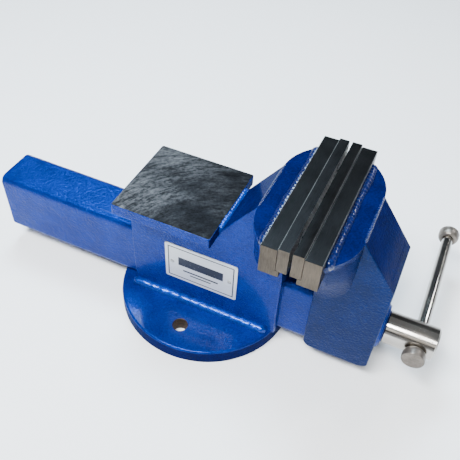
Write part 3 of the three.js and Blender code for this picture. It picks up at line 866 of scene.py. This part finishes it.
def bead(name, path, radius, body, ripple=0.0026, wander=0.05, paint=highlighted_bead_paint):
    """A weld along a path of corner points, thick and thin by turns like a hand-run bead."""
    step = ripple / ripple_steps
    spots, radii = [], []
    for start, end in zip(path, path[1:]):
        start, end = Vector(start), Vector(end)
        count = max(1, round((end - start).length / step))
        for i in range(count):
            spots.append(start.lerp(end, i / count))
    spots.append(Vector(path[-1]))
    swell = 0.0
    for i in range(len(spots)):
        swell = kept_swell * swell + dice.uniform(-wander, wander)
        wave = math.sin(math.tau * i / ripple_steps + swell * 4)
        radii.append(radius * (1 + ripple_height * wave + swell))
    curve = bpy.data.curves.new(name, "CURVE")
    curve.dimensions = "3D"
    curve.bevel_depth = 1.0
    curve.bevel_resolution = 3
    curve.use_fill_caps = True
    line = curve.splines.new("POLY")
    line.points.add(len(spots) - 1)
    for point, spot, thick in zip(line.points, spots, radii):
        drift = Vector([dice.uniform(-1, 1) for _ in range(3)]) * radius * bead_drift
        point.co = (*(spot + drift), 1)
        point.radius = thick
    for end, share in ((0, 0.45), (1, 0.75), (-1, 0.45), (-2, 0.75)):
        line.points[end].radius *= share
    line.use_smooth = True
    curve.materials.append(paint.material)
    made = bpy.data.objects.new(name, curve)
    bpy.context.scene.collection.objects.link(made)
    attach(made, body)


def cross_bead(name, x, z, half_length, radius, body, **run):
    """A weld that runs straight across, from the near side to the far one."""
    bead(name, [(x, -half_length, z), (x, half_length, z)], radius, body, **run)


foot_bead, foot_bead_out, foot_bead_up, foot_bead_front = 0.0058, 0.0012, 0.0008, 0.0785
foot_bead_turn, foot_bead_in = 0.001, 0.0022
anvil_bead, anvil_bead_out, anvil_bead_front, anvil_bead_stop = 0.0026, 0.0004, 0.019, 0.002
anvil_bead_z = anvil_lo.z - anvil_bead_out
foot_bead_z = foot_top + foot_bead_up
for side, word in ((-1, "near"), (1, "far")):
    y = side * (body_half + foot_bead_out)
    path = [(foot_bead_front, y, foot_bead_z), (fixed_rear + foot_bead_turn, y, foot_bead_z),
            (fixed_rear - foot_bead_turn, y - side * foot_bead_in, foot_bead_z)]
    bead(f"foot_weld_{word}", path, foot_bead, "base", ripple=0.011, wander=0.02)
    y = side * (body_half + anvil_bead_out)
    path = [(anvil_bead_front, y, anvil_bead_z), (fixed_rear + anvil_bead_stop, y, anvil_bead_z)]
    bead(f"anvil_weld_{word}", path, anvil_bead, "base")

across_rear, across_front, across_block, across_seat = 0.0285, 0.0296, 0.0655, 0.029
cross_bead("anvil_weld_rear", fixed_rear - 0.0003, anvil_bead_z, across_rear, anvil_bead, "base")
cross_bead("anvil_weld_front", slope_foot[0] + 0.0006, slope_foot[1] + 0.0012, across_front,
           0.0044, "base", ripple=0.0036, wander=0.06)
# The welds on the jaw seats, here and below, take the darker bead enamel, a painted shade.
for jaw, body, direction, jaw_x in jaws:
    x = jaw_x + direction * (block_back + 0.0012)
    cross_bead(f"{jaw}_block_weld", x, seat_top - 0.0014, across_block,
               0.0048, body, ripple=0.0042, wander=0.06, paint=shade_painted_bead_paint)
seat_bead_in, fixed_seat_bead_end = 0.0006, 0.031
seat_bead_z = seat_top - seat_bead_in
cross_bead("moving_slope_weld", moving_jaw_x + slope_top_u - seat_bead_in, seat_bead_z, across_seat,
           0.0013, "slide", ripple=0.003, wander=0.08, paint=shade_painted_bead_paint)
x = fixed_jaw_x - slope_top_u + seat_bead_in
bead("fixed_slope_weld", [(x, -across_seat, seat_bead_z), (x, fixed_seat_bead_end, seat_bead_z)],
     0.0011, "base", ripple=0.003, wander=0.08, paint=shade_painted_bead_paint)
cross_bead("moving_corner_weld", front_x - 0.0014, slope_bottom_z - 0.0012, across_rear,
           0.0013, "slide", ripple=0.003, wander=0.03)
ring = [(boss_lo.x + 0.0002, boss_radius * math.cos(math.radians(a)),
         spindle_z + boss_radius * math.sin(math.radians(a))) for a in range(0, 361, 12)]
bead("boss_weld", ring, 0.0016, "slide", ripple=0.003, wander=0.03)


# ---- the nut ----
# A cast iron nut inside the tube. Its post stands on the foot through the tube's slot, and a
# bolt from underneath holds it.
cast_iron = Finish("cast_iron", metallic=0.5, roughness=0.62)
pit_scale, pit_depth = 520, 0.0005
pits = cast_iron.noise(pit_scale, 4)
cast_iron.surface(base_color=cast_iron.blend(pits, (0.035, 0.035, 0.037, 1), (0.1, 0.1, 0.1, 1)))
cast_iron.surface(roughness=pits * 0.3 + 0.45)
cast_iron.surface(normal=cast_iron.relief(pits, pit_depth))

nut_lo, nut_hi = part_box("spindle_nut")
nut_half_height, nut_edge, nut_post, post_top, tapped_depth = 0.017, 0.002, 0.010, 0.014, 0.014
nut = slab((nut_lo.x, nut_lo.y, spindle_z - nut_half_height), (nut_hi.x, nut_hi.y, nut_hi.z))
post = slab((nut_lo.x, -nut_post, foot_top), (nut_hi.x, nut_post, spindle_z - post_top))
nut = carve(ease(nut, nut_edge), post, "UNION")
nut = carve(nut, bore(nut_lo.x, nut_hi.x))
tapped = plain_hole(nut_bolt_hole, foot_top - past, foot_top + tapped_depth)
nut = carve(nut, lathe(tapped, "z", (nut_bolt_x, 0, 0), 32))
build("spindle_nut", nut, [cast_iron], "base")

bolt_lo, bolt_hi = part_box("nut_bolt")
bolt_radius, bolt_head, bolt_head_top, bolt_edge = 0.006, 0.009, 0.008, 0.0006
bolt_mouth, bolt_floor, bolt_depth, bolt_tip = 0.0035, 0.003, 0.0036, 0.004
bolt_socket, bolt_socket_length = 0.0046, 0.009
bolt = [
    (bolt_mouth, bolt_lo.z), (bolt_head - bolt_edge, bolt_lo.z), (bolt_head, bolt_lo.z + bolt_edge),
    (bolt_head, bolt_head_top), (bolt_radius, bolt_head_top), (bolt_radius, bolt_hi.z - bolt_edge),
    (bolt_radius - bolt_edge, bolt_hi.z), (0, bolt_hi.z), (0, bolt_lo.z + bolt_tip),
    (bolt_floor, bolt_lo.z + bolt_depth), (bolt_mouth, bolt_lo.z),
]
bolt = lathe(bolt, "z", (nut_bolt_x, 0, 0), 32)
bolt = carve(bolt, hex_socket((nut_bolt_x, 0, bolt_lo.z), "z", bolt_socket, bolt_socket_length))
build("nut_bolt", bolt, [black_oxide], "base")


# ---- the spindle ----
# A turned steel bar: a single-start trapezoidal screw with 5 mm lead, and a chromed head that
# is drilled across for the tommy bar. A pinned collar and a washer hold it in the front plate.
chrome = Finish("chrome", metallic=1.0, roughness=0.12)
lay_scale, film_scale, lay_depth = 340, 55, 0.00004
lay = chrome.noise(lay_scale, 3, chrome.stretched((7, 0.4, 0.4)))
film = chrome.spread(chrome.noise(film_scale, 4), 0.4, 0.75)
chrome.surface(base_color=chrome.blend(film, (0.42, 0.405, 0.38, 1), (0.3, 0.275, 0.24, 1)))
chrome.surface(roughness=lay * 0.12 + film * 0.1 + 0.08)
chrome.surface(normal=chrome.relief(lay, lay_depth))

turned_steel = rolled_steel("turned_steel", (0.16, 0.16, 0.165, 1), (0.34, 0.34, 0.34, 1), (9, 1, 1))

head_gap = 0.0036
head_x, head_front, head_radius = front_x + head_gap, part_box("spindle")[1].x, 0.0155
screw_rear, screw_radius, screw_root, pitch = -0.132, 0.012, 0.0098, 0.005
# One turn of the thread: the radius, and how far along the pitch it is reached.
tooth = [(screw_root, 0), (screw_root, 0.3), (screw_radius, 0.42), (screw_radius, 0.8),
         (screw_root, 0.92), (screw_root, 1)]
per_turn, turns = 28, 58
thread = bmesh.new()
corners = [thread.verts.new((screw_rear - pitch + d * pitch, 0, r)) for r, d in tooth]
lines = [thread.edges.new(pair) for pair in zip(corners, corners[1:])]
bmesh.ops.spin(thread, geom=corners + lines, cent=(0, 0, 0), axis=(1, 0, 0), angle=math.tau * turns,
               steps=per_turn * turns, dvec=(pitch / per_turn, 0, 0), use_merge=False)
bmesh.ops.remove_doubles(thread, verts=thread.verts[:], dist=1e-6)
thread_front = screw_rear + pitch * (turns - 2)
for x, side in ((screw_rear, -1), (thread_front, 1)):
    cut = slice_off(thread, (x, 0, 0), (side, 0, 0), 1e-7)
    bmesh.ops.contextual_create(thread, geom=only(bmesh.types.BMEdge, cut))
thread = settled(thread, (0, 0, spindle_z))
front_chamfer, rear_chamfer, thread_overlap = 0.0016, 0.001, 0.0005
plain_rear = thread_front - thread_overlap
head = [(0, plain_rear), (screw_radius, plain_rear), (screw_radius, head_x)]
head += [(head_radius - rear_chamfer, head_x), (head_radius, head_x + rear_chamfer)]
head += [(head_radius, head_front - front_chamfer), (head_radius - front_chamfer, head_front)]
head += [(0, head_front)]
head = lathe(head, "x", (0, 0, spindle_z), 96)
for face in head.faces:
    face.material_index = 1 if face.calc_center_median().x > head_x - 10 * hair else 0
spindle = carve(thread, head, "UNION")

bar_from_front, bar_hole, bar_mouth = 0.016, 0.0058, 0.0075
bar_x = head_front - bar_from_front
mouth_start, mouth_end, drilled_to = 0.0138, head_radius + 0.0002, 0.02
cross = [(0, -drilled_to), (bar_mouth, -drilled_to), (bar_mouth, -mouth_end), (bar_hole, -mouth_start),
         (bar_hole, mouth_start), (bar_mouth, mouth_end), (bar_mouth, drilled_to), (0, drilled_to)]
spindle = carve(spindle, marked(lathe(cross, "y", (bar_x, 0, spindle_z), 40), 1))
build("spindle", spindle, [turned_steel, chrome], "spindle", flat=False)


def hoop(name, outer, edge):
    """A ring on the spindle, as long as its CAD node."""
    lo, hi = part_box(name)
    inner = spindle_bore
    profile = [(inner, lo.x + edge), (inner + edge, lo.x), (outer - edge, lo.x), (outer, lo.x + edge),
               (outer, hi.x - edge), (outer - edge, hi.x), (inner + edge, hi.x), (inner, hi.x - edge),
               (inner, lo.x + edge)]
    ring = lathe(profile, "x", (0, 0, spindle_z), 64)
    build(name, ring, [turned_steel], "spindle")


hoop("thrust_washer", outer=0.016, edge=0.0003)
hoop("retaining_collar", outer=0.017, edge=0.0006)


def plain_rod(radius, edge, start, end, axis, centre, steps):
    """A round rod along an axis, with its two ends chamfered."""
    profile = [(0, start), (radius - edge, start), (radius, start + edge), (radius, end - edge),
               (radius - edge, end), (0, end)]
    return lathe(profile, axis, centre, steps)


pin_lo, pin_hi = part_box("collar_pin")
pin_half, pin_radius, pin_edge = (pin_hi.z - pin_lo.z) / 2, 0.002, 0.0004
pin_centre = ((pin_lo.x + pin_hi.x) / 2, 0, spindle_z)
pin = plain_rod(pin_radius, pin_edge, -pin_half, pin_half, "z", pin_centre, 24)
build("collar_pin", pin, [turned_steel], "spindle")


# ---- the tommy bar ----
# A chromed round bar that slides through the spindle's head, with a barrel-shaped steel cap
# pressed on each end.
bar_lo, bar_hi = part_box("handle_bar")
bar_radius, bar_edge = 0.0055, 0.0005
bar = plain_rod(bar_radius, bar_edge, bar_lo.y, bar_hi.y, "y", (bar_x, 0, spindle_z), 48)
build("handle_bar", bar, [chrome], "handle")

cap_steel = rolled_steel("cap_steel", (0.12, 0.105, 0.092, 1), (0.24, 0.212, 0.185, 1), (1, 7, 1))
cap_radius, cap_neck, cap_shoulder, cap_socket, cap_edge = 0.0104, 0.0067, 0.0062, 0.008, 0.0009
socket_wall, socket_lip = bar_radius + 0.0003, 0.0004
for name, side in (("handle_cap_near", -1), ("handle_cap_far", 1)):
    lo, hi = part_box(name)
    length = hi.y - lo.y
    barrel = [(socket_wall, cap_socket), (socket_wall, socket_lip), (socket_wall + socket_lip, 0)]
    for i in range(corner_steps + 1):
        turn = math.radians(90 * i / corner_steps)
        barrel.append((cap_neck + (cap_radius - cap_neck) * math.sin(turn),
                       cap_shoulder * (1 - math.cos(turn))))
    barrel += [(cap_radius, length - cap_edge), (cap_radius - cap_edge * 0.3, length - cap_edge * 0.3),
               (cap_radius - cap_edge, length), (0, length), (0, cap_socket), (socket_wall, cap_socket)]
    mouth_y = hi.y if side < 0 else lo.y
    cap = lathe([(r, side * d) for r, d in barrel], "y", (bar_x, mouth_y, spindle_z), 64)
    build(name, cap, [cap_steel], "handle")


# ---- the studio ----
# A plain pale floor and wall, a large soft light over the near side with weaker ones around
# it and overhead, and the camera above the near side, looking down on the anvil.
floor_half = 1.6
ground = bmesh.new()
bmesh.ops.create_grid(ground, x_segments=1, y_segments=1, size=floor_half)
floor_mesh = bpy.data.meshes.new("floor")
ground.to_mesh(floor_mesh)
ground.free()
floor = bpy.data.objects.new("floor", floor_mesh)
bpy.context.scene.collection.objects.link(floor)
paper = Finish("floor_paper", roughness=0.85)
paper.surface(base_color=paper.blend(paper.noise(3, 2), (0.9, 0.9, 0.9, 1), (0.93, 0.93, 0.93, 1)))
floor_mesh.materials.append(paper.material)


cool, neutral, warm, sky_blue = (0.93, 0.97, 1), (0.95, 0.97, 1), (1, 0.97, 0.92), (0.66, 0.84, 1)
body_middle, foot_front = (0.02, 0, 0.08), (0.03, -0.065, 0.016)


def soft_light(name, direction, distance, size, power, colour, target=body_middle):
    """A soft box that faces the target from a direction, its power in watts."""
    lamp = bpy.data.lights.new(name, "AREA")
    lamp.shape = "RECTANGLE"
    lamp.size, lamp.size_y = size
    lamp.energy = power
    lamp.color = colour
    box = bpy.data.objects.new(name, lamp)
    bpy.context.scene.collection.objects.link(box)
    toward = Vector(direction).normalized()
    box.location = Vector(target) + toward * distance
    box.rotation_euler = toward.to_track_quat("Z", "Y").to_euler()


soft_light("key_box", (-0.12, -0.45, 0.88), 1.5, (1.0, 0.36), 72, cool)
soft_light("back_box", (-0.30, 0.42, 0.88), 1.5, (0.6, 0.45), 34, sky_blue, foot_front)
soft_light("side_box", (0.88, -0.45, 0.22), 1.6, (0.5, 0.5), 5, neutral)
soft_light("glint_box", (0.5, 0.63, 0.6), 1.6, (0.14, 0.14), 7, neutral)
soft_light("front_card", (0.02, -0.82, 0.57), 1.5, (1.2, 0.4), 2.5, warm)
soft_light("ceiling", (0, 0, 1), 5, (8, 8), 40, neutral)

# The studio's pale wall shows all round, low down, and fades out above it.
sky = bpy.data.worlds.new("studio")
bpy.context.scene.world = sky
sky.use_nodes = True
wall = sky.node_tree.nodes.new("ShaderNodeTexCoord")
height = sky.node_tree.nodes.new("ShaderNodeSeparateXYZ")
fade = sky.node_tree.nodes.new("ShaderNodeMapRange")
fade.interpolation_type = "SMOOTHSTEP"
wall_top, wall_fade = 0.08, 0.4
wall_glow, sky_glow = 0.7, 0.05
fades = (("From Min", wall_top), ("From Max", wall_fade), ("To Min", wall_glow), ("To Max", sky_glow))
for name, value in fades:
    fade.inputs[name].default_value = value
sky.node_tree.links.new(wall.outputs["Generated"], height.inputs[0])
sky.node_tree.links.new(height.outputs["Z"], fade.inputs["Value"])
backdrop = sky.node_tree.nodes["Background"]
backdrop.inputs["Color"].default_value = (0.9, 0.94, 1, 1)
sky.node_tree.links.new(fade.outputs["Result"], backdrop.inputs["Strength"])

camera_place = (0.16823, -0.36342, 0.49602)
yaw, pitch_down, roll = (math.radians(a) for a in (22.22, 46.96, 3.51))
level_reach = math.cos(pitch_down)
ahead = Vector((-math.sin(yaw) * level_reach, math.cos(yaw) * level_reach, -math.sin(pitch_down)))
level_right = Vector((math.cos(yaw), math.sin(yaw), 0))
level_up = level_right.cross(ahead)
right = math.cos(roll) * level_right + math.sin(roll) * level_up
up = math.cos(roll) * level_up - math.sin(roll) * level_right
lens = bpy.data.cameras.new("camera")
lens.sensor_width, lens.lens = 36, 46.81
lens.shift_x, lens.shift_y = 0.0059, 0.041
lens.clip_start, lens.clip_end = 0.02, 30
camera = bpy.data.objects.new("camera", lens)
bpy.context.scene.collection.objects.link(camera)
facing = Matrix((right, up, -ahead)).transposed().to_4x4()
camera.matrix_world = Matrix.Translation(camera_place) @ facing
bpy.context.scene.camera = camera
